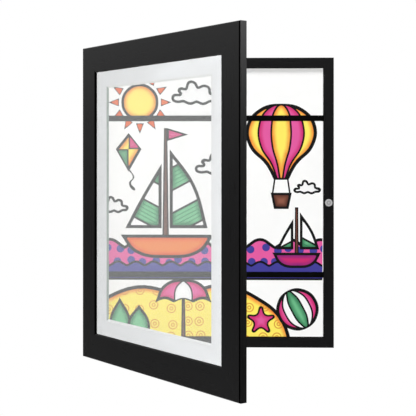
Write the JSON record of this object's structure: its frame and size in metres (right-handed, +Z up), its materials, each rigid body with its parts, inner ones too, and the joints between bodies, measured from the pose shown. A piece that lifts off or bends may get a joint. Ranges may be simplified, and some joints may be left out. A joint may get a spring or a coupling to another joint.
{
  "type": "front-opening picture frame",
  "caption": "Front-opening wall frame for drawings: a shallow storage box with elastic straps and a hinged, glazed and matted door that shuts on a magnet.",
  "frame": {"origin": "middle of the back panel's outer face, which is the flat back of the frame", "axes": "+Z up, +X to the right as seen from the room, +Y towards the wall"},
  "size_m": [0.3096, 0.2708, 0.381],
  "materials": {
    "door_paint": "satin black paint",
    "box_paint": "satin black paint",
    "hardboard": "dark hardboard",
    "clear_sheet": "clear polished",
    "mat_board": "matt white",
    "paper": "matt",
    "drawing": "coloured drawing",
    "elastic": "woven elastic",
    "steel": "zinc plated",
    "hinge_steel": "nickel plated",
    "magnet": "nickel plated",
    "pad_rubber": "matt"
  },
  "bodies": {
    "box": {"box_top_rail": "box_paint", "box_bottom_rail": "box_paint", "box_hinge_side": "box_paint", "box_latch_side": "box_paint", "box_corner_nails": "steel", "back_panel": "hardboard", "panel_staples": "steel", "stored_sheets": "paper", "drawing_sheet": "drawing", "upper_strap": "elastic", "lower_strap": "elastic", "strap_staples": "steel", "catch_magnet": "magnet", "magnet_screw": "magnet", "upper_hinge_box_leaf": "hinge_steel", "lower_hinge_box_leaf": "hinge_steel", "hinge_box_screws": "hinge_steel", "hinge_pins": "hinge_steel", "portrait_hanger": "steel", "landscape_hanger": "steel", "hanger_nails": "steel", "wall_pads": "pad_rubber"},
    "door": {"door_top_rail": "door_paint", "door_bottom_rail": "door_paint", "door_hinge_stile": "door_paint", "door_latch_stile": "door_paint", "door_corner_nails": "steel", "glazing_sheet": "clear_sheet", "window_mat": "mat_board", "glazing_points": "steel", "strike_disc": "steel", "strike_screw": "steel", "upper_hinge_door_leaf": "hinge_steel", "lower_hinge_door_leaf": "hinge_steel", "hinge_door_screws": "hinge_steel"}
  },
  "joints": [
    {"name": "door_swing", "type": "hinge", "parent": "box", "child": "door", "pos_m": [-0.14845, -0.0191, 0], "axis": [0, 0, -1], "range_deg": [-52.5, 47.5]}
  ]
}
